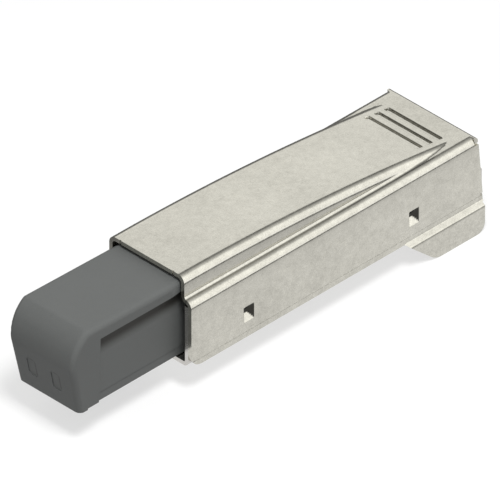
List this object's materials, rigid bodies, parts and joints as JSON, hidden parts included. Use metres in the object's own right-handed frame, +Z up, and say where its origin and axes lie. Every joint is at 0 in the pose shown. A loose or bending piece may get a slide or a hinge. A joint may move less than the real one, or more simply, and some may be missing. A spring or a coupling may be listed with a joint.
{
  "type": "soft close damper",
  "caption": "Clip-on hinge damper: pressed nickel-plated steel housing with ears that straddle a hinge arm, and a spring-returned plastic plunger pushed in by the door.",
  "frame": {"origin": "on the flat underside that rests on the hinge arm, in the middle of the width, 30 mm behind the housing's mouth", "axes": "+Z up, away from the hinge arm; +X along the housing, from the plunger's nose towards the ears; Y across"},
  "size_m": [0.0856, 0.0204, 0.0212],
  "materials": {
    "nickel_cover": "satin nickel plate",
    "nickel_tray": "satin nickel plate",
    "carrier_plastic": "moulded, fine grain",
    "plunger_plastic": "moulded, fine grain",
    "cylinder_plastic": "smooth moulded",
    "bearing_plastic": "natural acetal",
    "rod_steel": "ground and polished",
    "spring_steel": "bright spring steel",
    "seal_rubber": "nitrile rubber",
    "foam": "closed-cell foam"
  },
  "bodies": {
    "housing": {"cover": "nickel_cover", "inner_tray": "nickel_tray", "guide_carrier": "carrier_plastic", "piston_rod": "rod_steel", "piston": "bearing_plastic", "piston_ring": "bearing_plastic", "valve_disc": "spring_steel", "piston_clip": "spring_steel", "spring_cup": "spring_steel", "return_spring": "spring_steel"},
    "plunger": {"plunger": "plunger_plastic", "damper_cylinder": "cylinder_plastic", "cylinder_cap": "cylinder_plastic", "rod_guide": "bearing_plastic", "rod_seal": "seal_rubber", "cap_o_ring": "seal_rubber", "seal_washer": "spring_steel", "foam_sleeve": "foam", "foam_washer": "foam", "retaining_fork": "spring_steel"}
  },
  "joints": [
    {"name": "plunger_slide", "type": "slide", "parent": "housing", "child": "plunger", "axis": [1, 0, 0], "range_m": [0, 0.015], "stiffness_N_per_m": 250, "springref_m": -0.004, "deforming": ["return_spring"]}
  ]
}
